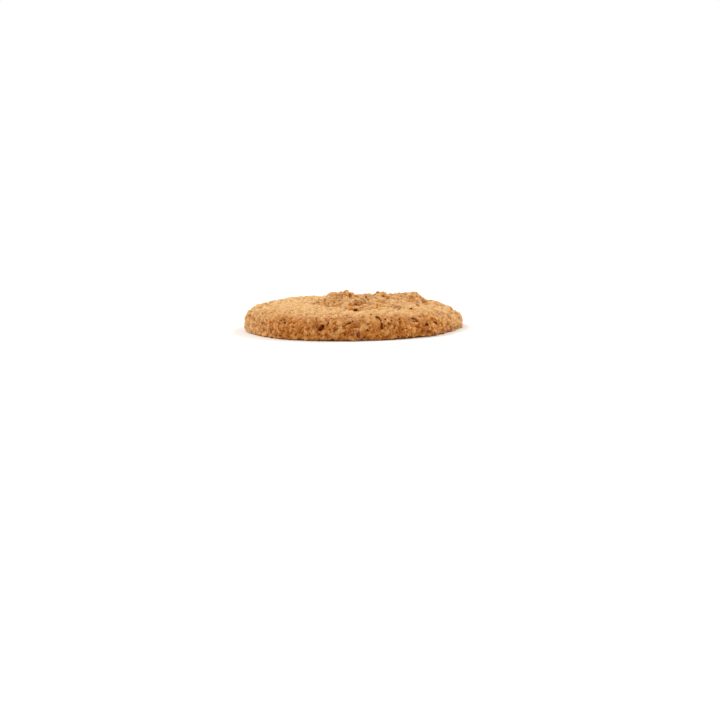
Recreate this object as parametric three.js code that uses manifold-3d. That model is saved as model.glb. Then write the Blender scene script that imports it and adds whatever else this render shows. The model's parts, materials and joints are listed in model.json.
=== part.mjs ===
// One cranberry and white chocolate cookie: a baked round biscuit with a flat underside, a rounded
// side that is cracked and pitted, and a low dome whose middle is broken up into clumps. Small
// pieces of cranberry and nuggets of white chocolate stand a little proud of the baked skin.
//
// Lengths are in millimetres and +Z is up. The origin is the middle of the underside, which lies on
// the plane z = 0. Turns are measured round +Z from -Y, the front, towards +X, the right.

import * as THREE from "three";
import { ImprovedNoise } from "three/addons/math/ImprovedNoise.js";
import { mergeVertices } from "three/addons/utils/BufferGeometryUtils.js";
import Module from "manifold-3d";

const { degToRad, lerp, smoothstep } = THREE.MathUtils;
const FULL_TURN = 2 * Math.PI;
const GOLDEN_TURN = Math.PI * (3 - Math.sqrt(5));

// ---- Driving dimensions -------------------------------------------------------------------------

const WIDEST = { radius: 38, height: 2.6 };
const FOOT_RADIUS = 37.2; // edge of the flat underside
const SIDE_TOP = { radius: 36.4, height: 5.9 };
const SHOULDER = { radius: 32.6, height: 8.5 };
const DOME_EDGE = { radius: 26, height: 9.6 };
const DOME_HEIGHT = 9.9; // the middle, before its clumps

// Waves that keep the plan from being a true circle: how many lobes, how deep, and turned how far.
const OUTLINE_WAVES = [
  { lobes: 2, depth: 0.3, turned: 70 },
  { lobes: 3, depth: 0.28, turned: 15 },
  { lobes: 5, depth: 0.2, turned: 40 },
  { lobes: 9, depth: 0.12, turned: 8 },
];

// Uneven baking, from the slow swelling of the dough to its coarse crumb.
const UNEVENNESS = [
  { size: 17, depth: 0.5 },
  { size: 7, depth: 0.45 },
  { size: 4.1, depth: 0.25 },
];

// The rim is not alike all round: the right shoulder has slumped, and it stands out square from the
// front round to the left. Each is strongest at its turn and reaches in to its inner radius.
const RIGHT_SLOPE = { turn: 90, narrowness: 2, inner: 20, drop: 1.3 };
const SQUARE_SHOULDER = { turn: 312, narrowness: 1, inner: 26, push: 1.8 };

const FOOT_FADE = 1.6; // height over which the unevenness dies out towards the flat underside
const FOOT_RAGGEDNESS = 0.35;

// The broken middle of the top: where it lies, and the clumps that it falls into.
const MIDDLE = { x: 5, y: 1, radius: 22, blend: 5 };
const CLUMPS = { spacing: 6.8, height: 1.3, gapWidth: 2.6, gapDepth: 0.8, warp: 1.7 };
const CRUMBLE = { size: 2.6, depth: 0.35 }; // unevenness of the broken dough itself

// The clumps that stand tallest, above the dome, and the hollows between the front ones.
const TALL_CLUMPS = [
  { x: -5.2, y: 17.5, radius: 4.4, height: 1.5 },
  { x: 10.8, y: 17.5, radius: 2.5, height: 1.35 },
  { x: 20.6, y: 13.5, radius: 3.8, height: 1.5 },
  { x: 5.4, y: -21.5, radius: 3.1, height: 0.8 },
  { x: -12.5, y: -15, radius: 3.2, height: 0.75 },
  { x: 13.5, y: -14, radius: 3.4, height: 0.6 },
];
const HOLLOWS = [
  { x: 0.6, y: -24.6, radius: 1.9, depth: 2.1 },
  { x: -8.2, y: -17.5, radius: 1.6, depth: 1.5 },
  { x: 15.2, y: 4.2, radius: 1.9, depth: 1.4 },
  { x: -3.5, y: 8.5, radius: 1.7, depth: 1.3 },
];
const CLUMP_EDGE = 0.9; // how soon a tall clump or a hollow rises or falls

// Pores, where steam broke through the side: degrees round from the front, height, and radius.
const PORES = [
  { turn: -17, height: 4.6, radius: 1.15 },
  { turn: 15.2, height: 5.2, radius: 0.8 },
  { turn: -38.6, height: 5.6, radius: 0.55 },
  { turn: 38, height: 2.1, radius: 0.75 },
  { turn: 48, height: 4.2, radius: 0.7 },
  { turn: -65, height: 6, radius: 0.5 },
  { turn: 84, height: 5.1, radius: 0.8 },
  { turn: 121, height: 3.8, radius: 1.0 },
  { turn: 158, height: 6.1, radius: 0.7 },
  { turn: 196, height: 4.4, radius: 1.1 },
  { turn: 233, height: 5.5, radius: 0.7 },
  { turn: 262, height: 3.2, radius: 0.9 },
];
const PORE_STRETCH = 1.5; // depth of a pore as a share of its width

// Cracks in the side and shoulder, each a line of places given as [degrees round, height].
const CRACKS = [
  [[-6.4, 4.8], [-2.2, 6.1], [1.9, 7.3]],
  [[11, 8.4], [14.4, 7.2], [15.6, 5.4]],
  [[-12.4, 7.7], [-13.2, 6.2], [-12.6, 5]],
  [[33, 7.4], [35.6, 6.3], [37, 5.2]],
  [[100, 3.4], [104, 5.2], [103, 7.2]],
  [[139, 7.6], [144, 6], [151, 5.4]],
  [[178, 3], [176, 5], [181, 7.2]],
  [[214, 6.8], [221, 6.1], [226, 7.2]],
  [[247, 3.6], [245, 5.6], [250, 7.4]],
  [[287, 7.3], [291, 5.6], [298, 4.8]],
];
const CRACK = { width: 0.65, depth: 1.1, steps: 7 };

// Pieces in the dough. The named ones are where they show best, and a spiral rule spreads the rest.
const CRANBERRY = {
  color: 0x6b1f22,
  size: { least: 0.8, most: 1.35 },
  flatness: 0.62,
  sunk: 0.35,
  onTop: [{ x: 4.8, y: 5 }, { x: -30.2, y: 1 }, { x: 15.6, y: -24.5 }, { x: 19.7, y: -21.5 }],
  onSide: [{ turn: 2.6, height: 2.1 }, { turn: 34, height: 6.4 }],
  spread: { top: 9, side: 6, seed: 11 },
};
const WHITE_CHOCOLATE = {
  color: 0xd9963f,
  size: { least: 0.9, most: 1.6 },
  flatness: 0.8,
  sunk: 0.3,
  onTop: [{ x: -11.2, y: -19.2 }, { x: 7.6, y: -23.2 }, { x: 24, y: 9 }, { x: -2, y: 20.5 }],
  onSide: [
    { turn: 29, height: 4.4 },
    { turn: 32.5, height: 3.4 },
    { turn: 51, height: 5 },
    { turn: 54.5, height: 3.3 },
  ],
  spread: { top: 10, side: 8, seed: 29 },
};
const SPREAD_REACH = 33; // how far from the middle the spiral of pieces on top goes
const SIDE_BAND = { low: 2.2, high: 7.2 }; // heights between which pieces show in the side

// Length of the sides of the triangles: on the broken middle, on the rest of the baked skin, and on
// the flat underside.
const MIDDLE_STEP = 1.15;
const SKIN_STEP = 1.7;
const UNDERSIDE_STEP = 6;

// ---- Helpers ------------------------------------------------------------------------------------

const noise = new ImprovedNoise();

/** Smooth noise, about -1 to 1, whose bumps are `size` across. Each `layer` is another pattern. */
function noiseAt(x, y, z, size, layer = 0) {
  const shift = 17.3 * layer;
  return noise.noise(x / size + shift, y / size + shift, z / size + 5.1);
}

/** A function that gives the next number, from 0 to 1, of a row that is fixed by its seed. */
function makeRandom(seed) {
  let state = seed;
  return () => {
    state = (Math.imul(state, 1664525) + 1013904223) >>> 0;
    return state / 2 ** 32;
  };
}

/** A number from 0 to 1 that belongs to one square of a grid. */
function squareRandom(column, row, layer) {
  const wave = Math.sin(column * 127.1 + row * 311.7 + layer * 74.7) * 43758.5453;
  return wave - Math.floor(wave);
}

/** Direction in plan of a turn from the front, in radians. */
function direction(turn) {
  return new THREE.Vector3(Math.sin(turn), -Math.cos(turn), 0);
}

// ---- The baked body -----------------------------------------------------------------------------

const skinProfile = new THREE.SplineCurve([
  new THREE.Vector2(FOOT_RADIUS, 0),
  new THREE.Vector2(WIDEST.radius, WIDEST.height),
  new THREE.Vector2(SIDE_TOP.radius, SIDE_TOP.height),
  new THREE.Vector2(SHOULDER.radius, SHOULDER.height),
  new THREE.Vector2(DOME_EDGE.radius, DOME_EDGE.height),
  new THREE.Vector2(DOME_EDGE.radius / 2, DOME_HEIGHT),
  new THREE.Vector2(0, DOME_HEIGHT),
]);

/** Radius of the plan at a turn, as a share of the round cookie's. */
function outlineShare(turn) {
  const waves = OUTLINE_WAVES.map(
    ({ lobes, depth, turned }) => depth * Math.cos(lobes * (turn - degToRad(turned))),
  );
  return 1 + waves.reduce((sum, wave) => sum + wave, 0) / WIDEST.radius;
}

/** 1 on the shoulder where a form is strongest, and 0 at the foot, inside, and round the back. */
function shoulderShare(radius, height, turn, form) {
  const facing = Math.max(0, Math.cos(turn - degToRad(form.turn))) ** form.narrowness;
  const outer = smoothstep(radius, form.inner, SHOULDER.radius);
  return facing * outer * smoothstep(height, WIDEST.height, SHOULDER.height);
}

/** How far the slumped right shoulder lies below the rest of the rim. */
function slump(radius, height, turn) {
  return RIGHT_SLOPE.drop * shoulderShare(radius, height, turn, RIGHT_SLOPE);
}

/** How far the square shoulder stands out past the rest of the rim. */
function bulge(radius, height, turn) {
  return SQUARE_SHOULDER.push * shoulderShare(radius, height, turn, SQUARE_SHOULDER);
}

/** The clump that a place on top belongs to: its random height, and how far off its border is. */
function clumpAt(x, y) {
  const bentX = x + CLUMPS.warp * noiseAt(x, y, 0, CLUMPS.spacing, 3);
  const bentY = y + CLUMPS.warp * noiseAt(x, y, 0, CLUMPS.spacing, 4);
  const column = Math.floor(bentX / CLUMPS.spacing);
  const row = Math.floor(bentY / CLUMPS.spacing);
  const found = [];
  for (let i = column - 1; i <= column + 1; i++) {
    for (let j = row - 1; j <= row + 1; j++) {
      const seedX = (i + squareRandom(i, j, 1)) * CLUMPS.spacing;
      const seedY = (j + squareRandom(i, j, 2)) * CLUMPS.spacing;
      const distance = Math.hypot(bentX - seedX, bentY - seedY);
      found.push({ distance, height: squareRandom(i, j, 3) });
    }
  }
  found.sort((a, b) => a.distance - b.distance);
  return { height: found[0].height, border: found[1].distance - found[0].distance };
}

/** 1 over a round patch of the top and 0 outside it, with an uneven edge. */
function patchShare(x, y, patch, edge) {
  const distance = Math.hypot(x - patch.x, y - patch.y) + 0.7 * noiseAt(x, y, 0, 3, 7);
  return 1 - smoothstep(distance, patch.radius - edge, patch.radius + edge);
}

/** How far the broken middle stands above the smooth dome at a place. */
function middleRelief(x, y) {
  const clump = clumpAt(x, y);
  const solid = smoothstep(clump.border, 0, CLUMPS.gapWidth);
  const crumble = CRUMBLE.depth * noiseAt(x, y, 0, CRUMBLE.size, 6);
  const broken = solid * clump.height * CLUMPS.height - (1 - solid) * CLUMPS.gapDepth + crumble;
  const tall = TALL_CLUMPS.map((one) => one.height * patchShare(x, y, one, CLUMP_EDGE));
  const hollow = HOLLOWS.map((one) => one.depth * patchShare(x, y, one, CLUMP_EDGE));
  return (
    broken * patchShare(x, y, MIDDLE, MIDDLE.blend) + Math.max(...tall) - Math.max(...hollow)
  );
}

/** A point of the baked skin: `along` runs from 0 at the foot to 1 at the middle of the top. */
function skinPoint(along, turn) {
  const { x: radius, y: height } = skinProfile.getPointAt(along);
  const slope = skinProfile.getTangentAt(along);
  const out = direction(turn);
  const reach = (radius + bulge(radius, height, turn)) * outlineShare(turn);
  const place = out.clone().multiplyScalar(reach);
  place.z = height - slump(radius, height, turn);
  const normal = out.multiplyScalar(slope.y);
  normal.z = -slope.x;
  const uneven = UNEVENNESS.map(
    ({ size, depth }, layer) => depth * noiseAt(place.x, place.y, place.z, size, layer),
  );
  const onTop = smoothstep(height, SIDE_TOP.height, SHOULDER.height);
  const relief =
    uneven.reduce((sum, one) => sum + one, 0) * smoothstep(height, 0, FOOT_FADE) +
    middleRelief(place.x, place.y) * onTop;
  return place.addScaledVector(normal, relief);
}

/** A point of the flat underside, whose edge is ragged. */
function undersidePoint(radius, turn) {
  const edge = radius / FOOT_RADIUS;
  const out = direction(turn);
  const ragged = FOOT_RAGGEDNESS * edge * noiseAt(40 * out.x, 40 * out.y, 0, 2.2, 5);
  return out.multiplyScalar(radius * outlineShare(turn) + ragged);
}

/** Length of the triangles' sides where the skin has a given radius and height. */
function skinStep(radius, height) {
  const onSide = height < SHOULDER.height;
  const coarse = onSide ? 1 : smoothstep(radius, DOME_EDGE.radius, SHOULDER.radius);
  return lerp(MIDDLE_STEP, SKIN_STEP, coarse);
}

/** Rings of points from the middle of the underside, round the foot, to the middle of the top. */
function makeRings() {
  const rings = [];
  const addRing = (radius, step, pointAt) => {
    const count = radius < step / 2 ? 1 : Math.max(6, Math.round((FULL_TURN * radius) / step));
    const stagger = (rings.length % 2) / 2;
    rings.push(
      Array.from({ length: count }, (_, i) => pointAt(((i + stagger) / count) * FULL_TURN)),
    );
  };
  const undersideRings = Math.floor(FOOT_RADIUS / UNDERSIDE_STEP);
  for (let i = 0; i < undersideRings; i++) {
    const radius = (i / undersideRings) * FOOT_RADIUS;
    addRing(radius, UNDERSIDE_STEP, (turn) => undersidePoint(radius, turn));
  }
  addRing(FOOT_RADIUS, SKIN_STEP, (turn) => undersidePoint(FOOT_RADIUS, turn));
  const ringShare = Math.sin(Math.PI / 3) / skinProfile.getLength();
  let along = SKIN_STEP * ringShare;
  while (along < 1) {
    const here = along;
    const { x: radius, y: height } = skinProfile.getPointAt(here);
    const step = skinStep(radius, height);
    addRing(radius, step, (turn) => skinPoint(here, turn));
    along += step * ringShare;
  }
  addRing(0, MIDDLE_STEP, (turn) => skinPoint(1, turn));
  return rings;
}

/** Fills the band between two neighbouring rings with triangles that face outwards. */
function stitch(lower, upper, triangles) {
  const lowerSteps = lower.count > 1 ? lower.count : 0;
  const upperSteps = upper.count > 1 ? upper.count : 0;
  let i = 0;
  let j = 0;
  while (i < lowerSteps || j < upperSteps) {
    const here = lower.first + (i % lower.count);
    const above = upper.first + (j % upper.count);
    const lowerNext = i < lowerSteps && (i + 0.5) * upperSteps <= (j + 0.5) * lowerSteps;
    if (lowerNext || j >= upperSteps) {
      triangles.push(here, lower.first + ((i + 1) % lower.count), above);
      i++;
    } else {
      triangles.push(here, upper.first + ((j + 1) % upper.count), above);
      j++;
    }
  }
}

/** The whole body as one closed surface. */
function makeBodyGeometry() {
  const rings = makeRings();
  const places = rings.flat().flatMap((point) => point.toArray());
  const triangles = [];
  let first = 0;
  for (let i = 0; i + 1 < rings.length; i++) {
    const lower = { first, count: rings[i].length };
    first += lower.count;
    stitch(lower, { first, count: rings[i + 1].length }, triangles);
  }
  const geometry = new THREE.BufferGeometry();
  geometry.setAttribute("position", new THREE.Float32BufferAttribute(places, 3));
  geometry.setIndex(triangles);
  geometry.computeBoundingBox();
  const middle = geometry.boundingBox.getCenter(new THREE.Vector3());
  return geometry.translate(-middle.x, -middle.y, 0);
}

// ---- Places on the skin -------------------------------------------------------------------------

const bodyGeometry = makeBodyGeometry();
const bodyMesh = new THREE.Mesh(bodyGeometry);
const CLEAR = 2 * WIDEST.radius; // a distance that is well outside the cookie

/** Where a straight line first meets the skin, and the skin's normal there. */
function meetSkin(from, towards) {
  const [hit] = new THREE.Raycaster(from, towards).intersectObject(bodyMesh);
  return { point: hit.point, normal: hit.face.normal };
}

function placeOnTop({ x, y }) {
  return meetSkin(new THREE.Vector3(x, y, CLEAR), new THREE.Vector3(0, 0, -1));
}

function placeOnSide({ turn, height }) {
  const out = direction(degToRad(turn));
  const from = out.clone().multiplyScalar(CLEAR).setZ(height);
  return meetSkin(from, out.negate());
}

// ---- Pores, cracks and pieces -------------------------------------------------------------------

/** A lump with a dented surface, one unit in radius, made uneven by its own random row. */
function makeLump(random, unevenness) {
  const round = new THREE.IcosahedronGeometry(1, 0).deleteAttribute("normal").deleteAttribute("uv");
  const lump = mergeVertices(round, 1e-3);
  const corners = lump.getAttribute("position");
  const corner = new THREE.Vector3();
  for (let i = 0; i < corners.count; i++) {
    corner.fromBufferAttribute(corners, i).multiplyScalar(lerp(1 - unevenness, 1, random()));
    corners.setXYZ(i, corner.x, corner.y, corner.z);
  }
  return lump;
}

/** Moves a shape made round the origin to a place on the skin, with its +Z along the normal. */
function setOnSkin(geometry, { point, normal }, spin, lift) {
  const upright = new THREE.Quaternion().setFromUnitVectors(new THREE.Vector3(0, 0, 1), normal);
  const turned = new THREE.Quaternion().setFromAxisAngle(new THREE.Vector3(0, 0, 1), spin);
  return geometry
    .applyQuaternion(upright.multiply(turned))
    .translate(...point.clone().addScaledVector(normal, lift).toArray());
}

function makePores() {
  const random = makeRandom(5);
  return PORES.map((pore) => {
    const ball = makeLump(random, 0.25).scale(
      pore.radius,
      pore.radius,
      pore.radius * PORE_STRETCH,
    );
    return setOnSkin(ball, placeOnSide(pore), random() * FULL_TURN, 0);
  });
}

/** A blade with a diamond section that follows a crack and is sunk to half its height. */
function makeCracks() {
  const section = new THREE.Shape([
    new THREE.Vector2(CRACK.depth, 0),
    new THREE.Vector2(0, CRACK.width / 2),
    new THREE.Vector2(-CRACK.depth, 0),
    new THREE.Vector2(0, -CRACK.width / 2),
  ]);
  return CRACKS.map((line) => {
    const points = line.map(([turn, height]) => placeOnSide({ turn, height }).point);
    const extrudePath = new THREE.CatmullRomCurve3(points);
    return new THREE.ExtrudeGeometry(section, { steps: CRACK.steps, extrudePath });
  });
}

/** Places of one kind of piece: the named ones, then those of the spirals on top and side. */
function piecePlaces({ onTop, onSide, spread }) {
  const random = makeRandom(spread.seed);
  const top = Array.from({ length: spread.top }, (_, i) => {
    const reach = SPREAD_REACH * Math.sqrt((i + random()) / spread.top);
    const out = direction(i * GOLDEN_TURN + spread.seed + random());
    return { x: reach * out.x, y: reach * out.y };
  });
  const side = Array.from({ length: spread.side }, (_, i) => ({
    turn: 75 + ((i + random()) / spread.side) * 255,
    height: lerp(SIDE_BAND.low, SIDE_BAND.high, random()),
  }));
  return [...onTop, ...top].map(placeOnTop).concat([...onSide, ...side].map(placeOnSide));
}

function makePieces(kind) {
  const random = makeRandom(kind.spread.seed + 1);
  return piecePlaces(kind).map((place) => {
    const size = lerp(kind.size.least, kind.size.most, random());
    const width = size * lerp(0.7, 1, random());
    const piece = makeLump(random, 0.3).scale(size, width, size * kind.flatness);
    return setOnSkin(piece, place, random() * FULL_TURN, -size * kind.sunk);
  });
}

// ---- Joining ------------------------------------------------------------------------------------

const wasm = await Module();
wasm.setup();

function toSolid(geometry) {
  const bare = new THREE.BufferGeometry();
  bare.setAttribute("position", geometry.getAttribute("position"));
  bare.setIndex(geometry.index);
  const merged = mergeVertices(bare, 1e-4);
  return new wasm.Manifold(
    new wasm.Mesh({
      numProp: 3,
      vertProperties: merged.getAttribute("position").array,
      triVerts: new Uint32Array(merged.index.array),
    }),
  );
}

function toGeometry(solid) {
  const { vertProperties, triVerts } = solid.getMesh();
  const geometry = new THREE.BufferGeometry();
  geometry.setAttribute("position", new THREE.BufferAttribute(vertProperties, 3));
  geometry.setIndex(new THREE.BufferAttribute(triVerts, 1));
  geometry.computeVertexNormals();
  return geometry;
}

/** The body with its pores and cracks cut in and its pieces fused on, without loose scraps. */
function makeCookie() {
  let solid = toSolid(bodyGeometry);
  for (const cut of [...makePores(), ...makeCracks()]) {
    solid = solid.subtract(toSolid(cut));
  }
  for (const piece of [...makePieces(CRANBERRY), ...makePieces(WHITE_CHOCOLATE)]) {
    solid = solid.add(toSolid(piece));
  }
  const [whole] = solid.decompose().sort((a, b) => b.volume() - a.volume());
  return toGeometry(whole);
}

const crust = new THREE.MeshStandardMaterial({ color: 0xc98f56, roughness: 0.9, metalness: 0 });
const cookie = new THREE.Mesh(makeCookie(), crust);
cookie.name = "cookie";

const group = new THREE.Group();
group.add(cookie);
export default group;
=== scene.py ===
# %% [markdown]
# # A cranberry and white chocolate cookie
#
# This lesson dresses one baked cookie. The solid it starts from has the cookie's true size and main
# form: a flat underside, a steep side, a swollen rim and a broken middle. It stays as it is, and a
# copy of it is worked up here into crumbly dough, with the pieces of fruit and chocolate in it.
#
# Lengths are in metres, as Blender has them. Small ones are written as a number of MM. Turns are
# counted round the cookie from the front, -Y, towards the right, +X, as in the solid's own source.

# %% Load the fixed frame
import json
import math
import random
from contextlib import contextmanager

import bpy
from mathutils import Matrix, Vector

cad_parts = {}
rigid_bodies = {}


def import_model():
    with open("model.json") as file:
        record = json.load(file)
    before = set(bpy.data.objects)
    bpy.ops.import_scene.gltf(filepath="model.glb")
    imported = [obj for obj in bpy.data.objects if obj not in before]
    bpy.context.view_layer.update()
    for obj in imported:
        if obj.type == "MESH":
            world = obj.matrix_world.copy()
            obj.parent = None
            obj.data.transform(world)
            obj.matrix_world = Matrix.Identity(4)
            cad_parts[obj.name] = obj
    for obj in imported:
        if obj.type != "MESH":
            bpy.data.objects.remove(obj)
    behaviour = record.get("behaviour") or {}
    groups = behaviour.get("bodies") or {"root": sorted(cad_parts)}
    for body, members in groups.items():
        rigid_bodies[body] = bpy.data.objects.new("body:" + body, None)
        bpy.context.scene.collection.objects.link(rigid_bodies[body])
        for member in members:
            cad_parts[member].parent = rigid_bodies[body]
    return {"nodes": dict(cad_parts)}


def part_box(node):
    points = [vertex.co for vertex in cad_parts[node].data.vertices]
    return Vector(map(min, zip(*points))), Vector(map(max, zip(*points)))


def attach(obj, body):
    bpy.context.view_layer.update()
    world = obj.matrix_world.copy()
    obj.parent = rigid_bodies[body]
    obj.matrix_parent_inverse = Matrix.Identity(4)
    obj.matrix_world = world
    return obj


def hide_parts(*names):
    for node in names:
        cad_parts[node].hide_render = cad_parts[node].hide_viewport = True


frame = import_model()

MM = 0.001
FULL_TURN = 2 * math.pi
SAME_POINT = 0.01 * MM  # corners closer together than this are one
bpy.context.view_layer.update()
lowest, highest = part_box("cookie")
print("The solid is", [round(side / MM, 1) for side in highest - lowest], "mm")

# %% [markdown]
# ## The camera
#
# A camera can be turned until a picture looks right, or worked out. Here it was worked out: the
# cookie's rim is an ellipse whose height over its width gives the angle that the lens looks down at,
# and its width gives the distance. The picture leans by one degree, which is the camera's roll.

# %% The camera
PICTURE = 720  # the picture's width and height, in pixels
FOCAL_LENGTH = 125
SENSOR = 36
CAMERA_PLACE = Vector((2.1, -869.9, 101.2)) * MM
LOOKS_DOWN = math.radians(7.36)
ROLL = math.radians(-1.08)
SEES_AS_FAR_AS = 20  # metres, past the edge of the floor

camera_turn = Matrix.Rotation(math.pi / 2 - LOOKS_DOWN, 4, "X") @ Matrix.Rotation(ROLL, 4, "Z")
bpy.ops.object.camera_add(location=CAMERA_PLACE, rotation=camera_turn.to_euler())
camera = bpy.context.object
camera.data.lens = FOCAL_LENGTH
camera.data.sensor_width = SENSOR
camera.data.clip_end = SEES_AS_FAR_AS
bpy.context.scene.camera = camera
print("The camera stands", round(CAMERA_PLACE.length, 3), "m from the cookie")


# %% A line of sight
def sight(x, y):
    """The direction in which the camera sees a pixel of its picture."""
    across = (x - PICTURE / 2) * SENSOR / PICTURE
    down = (y - PICTURE / 2) * SENSOR / PICTURE
    return camera_turn.to_3x3() @ Vector((across, -down, -FOCAL_LENGTH)).normalized()


print("The middle of the picture looks along", [round(part, 3) for part in sight(PICTURE / 2, PICTURE / 2)])

# %% [markdown]
# ## Working with operators
#
# Blender's operators act on whatever is selected, so each step here begins by selecting one piece
# and nothing else. Faces are picked in code, by their place or the way they face.


# %% Selecting
def select_only(*pieces):
    """Selects these pieces and nothing else. The first is the active one."""
    bpy.ops.object.select_all(action="DESELECT")
    for piece in pieces:
        piece.select_set(True)
    bpy.context.view_layer.objects.active = pieces[0]


@contextmanager
def editing(piece, everything=True):
    """Edit mode on one piece, by faces, with all of it selected or only the faces marked before."""
    select_only(piece)
    bpy.context.scene.tool_settings.mesh_select_mode = (False, False, True)
    bpy.ops.object.mode_set(mode="EDIT")
    if everything:
        bpy.ops.mesh.select_all(action="SELECT")
    yield
    bpy.ops.object.mode_set(mode="OBJECT")


def triangles(piece):
    """How many triangles the piece's mesh comes to."""
    return sum(len(face.vertices) - 2 for face in piece.data.polygons)


# %% Applying a modifier
def apply_modifier(piece, kind, **settings):
    """Adds one modifier to a piece, sets it, and applies it."""
    select_only(piece)
    bpy.ops.object.modifier_add(type=kind)
    modifier = piece.modifiers[-1]
    for name, value in settings.items():
        setattr(modifier, name, value)
    bpy.ops.object.modifier_apply(modifier=modifier.name)


# %% [markdown]
# ## Sums as nodes
#
# Relief and colour are both worked out by node trees, from a place on the cookie. Built by hand,
# such a tree is a page of boxes and wires. Written as sums it is a few lines, so this small class
# wraps the end of a wire, and adding or multiplying two of them puts the right node between them.


# %% A wire that does sums
class Wire:
    """The output of a node. Sums with it add a Math node or, for places, a Vector Math node."""

    tree = None  # the node tree that is being filled

    def __init__(self, socket):
        self.socket = socket

    @classmethod
    def node(cls, kind, settings=None, sockets=None, output=0):
        """Adds one node: first its settings, then the values or wires of its sockets."""
        node = cls.tree.nodes.new(kind)
        for name, value in (settings or {}).items():
            setattr(node, name, value)
        for name, value in (sockets or {}).items():
            if isinstance(value, Wire):
                cls.tree.links.new(value.socket, node.inputs[name])
            else:
                node.inputs[name].default_value = value
        return cls(node.outputs[output])

    @classmethod
    def math(cls, operation, one, other):
        """One sum of two values, by the kind of node that suits them. Colours are mixed instead."""
        sides = (one, other)
        if any(isinstance(side, Wire) and side.socket.type == "VECTOR" for side in sides):
            sides = [(side,) * 3 if isinstance(side, (int, float)) else side for side in sides]
            return cls.node("ShaderNodeVectorMath", {"operation": operation}, dict(enumerate(sides)))
        return cls.node("ShaderNodeMath", {"operation": operation}, dict(enumerate(sides)))

    def __add__(self, other):
        return self.math("ADD", self, other)

    __radd__ = __add__

    def __sub__(self, other):
        return self.math("SUBTRACT", self, other)

    def __rsub__(self, other):
        return self.math("SUBTRACT", other, self)

    def __mul__(self, other):
        return self.math("MULTIPLY", self, other)

    __rmul__ = __mul__


# %% Steps, patterns and mixes
MIX_SHARE, MIX_ONE, MIX_OTHER, MIX_RESULT = 0, 6, 7, 2  # a Mix node's sockets when it mixes colours


def mix(share, one, other):
    """The colour `one`, and by `share` the other one, mixed as paints are."""
    return Wire.node("ShaderNodeMix", {"data_type": "RGBA"},
                     {MIX_SHARE: share, MIX_ONE: one, MIX_OTHER: other}, MIX_RESULT)


def ramp(value, start, end, low=0.0, high=1.0):
    """Goes smoothly from `low` to `high` as the value goes from `start` to `end`."""
    return Wire.node("ShaderNodeMapRange", {"interpolation_type": "SMOOTHSTEP"},
                     {"Value": value, "From Min": start, "From Max": end, "To Min": low, "To Max": high})


def cloud(place, size, detail=0.0):
    """Soft noise from -1 to 1 whose bumps are about `size` apart."""
    noise = Wire.node("ShaderNodeTexNoise", {}, {"Vector": place, "Scale": 1 / size, "Detail": detail})
    return (noise - 0.5) * 2


def bent(place, size, reach):
    """The place moved by up to `reach` in a soft, random direction, so that patterns lose their grid."""
    noise = Wire.node("ShaderNodeTexNoise", {}, {"Vector": place, "Scale": 1 / size, "Detail": 0}, "Color")
    shift = Wire.node("ShaderNodeVectorMath", {"operation": "SUBTRACT"}, {0: noise, 1: (0.5, 0.5, 0.5)})
    return place + shift * (4.0 * reach)


def cells(place, size, feature="F1", output="Distance"):
    """Voronoi cells about `size` across: the distance to a middle or a border, or a random colour."""
    return Wire.node("ShaderNodeTexVoronoi", {"feature": feature},
                     {"Vector": place, "Scale": 1 / size}, output)


def part_of(vector, axis):
    """One of the three numbers of a vector or a colour."""
    return Wire.node("ShaderNodeSeparateXYZ", {}, {"Vector": vector}, axis)


# %% [markdown]
# ## Relief on a skin
#
# A skin can be given bumps by Displace modifiers with a texture each, one for every kind of bump. A
# Geometry Nodes tree works all the bumps out in one sum. It can also keep what it made as attributes
# of the mesh, which the colours read later, so that creases get painted shade where they are deep.


# %% Pushing a skin out
def new_modifier_tree(name):
    """An empty Geometry Nodes tree with a mesh in and a mesh out, ready to be filled."""
    tree = bpy.data.node_groups.new(name, "GeometryNodeTree")
    for end in ("INPUT", "OUTPUT"):
        tree.interface.new_socket("Mesh", in_out=end, socket_type="NodeSocketGeometry")
    Wire.tree = tree
    return tree


def above_floor(position):
    """The position, but no lower than the floor. Nothing here reaches a metre to the left or front."""
    return Wire.math("MAXIMUM", position, (-1.0, -1.0, 0.0))


def push_out(piece, relief_of):
    """Moves a piece's skin along its normals. relief_of(place, normal) gives the relief, and the
    values to keep as attributes, by name. Its place and its relief are in millimetres."""
    tree = new_modifier_tree("relief")
    mesh = Wire.node("NodeGroupInput")
    normal = Wire.node("GeometryNodeInputNormal")
    position = Wire.node("GeometryNodeInputPosition")
    relief, attributes = relief_of(position * (1 / MM), normal)
    for name, value in attributes.items():
        is_vector = isinstance(value, Wire) and value.socket.type == "VECTOR"
        kind = "FLOAT_VECTOR" if is_vector else "FLOAT"
        mesh = Wire.node("GeometryNodeStoreNamedAttribute", {"data_type": kind, "domain": "POINT"},
                         {"Geometry": mesh, "Name": name, "Value": value})
    moved = above_floor(position + normal * (relief * MM))
    mesh = Wire.node("GeometryNodeSetPosition", {}, {"Geometry": mesh, "Position": moved})
    tree.links.new(mesh.socket, tree.nodes.new("NodeGroupOutput").inputs[0])
    apply_modifier(piece, "NODES", node_group=tree)
    print(piece.name, "has relief from", len(tree.nodes), "nodes")


# %% [markdown]
# ## The dough, first pass
#
# The real cookie is one lump of crumbly dough that swelled, cracked and set. Sculpting it by hand
# would take thousands of strokes. The quick way is to build it up as a baker would press it: a copy
# of the solid for the body, lumps of loose dough pressed into its middle, and one voxel remesh that
# melts them all into a single closed skin.

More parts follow.
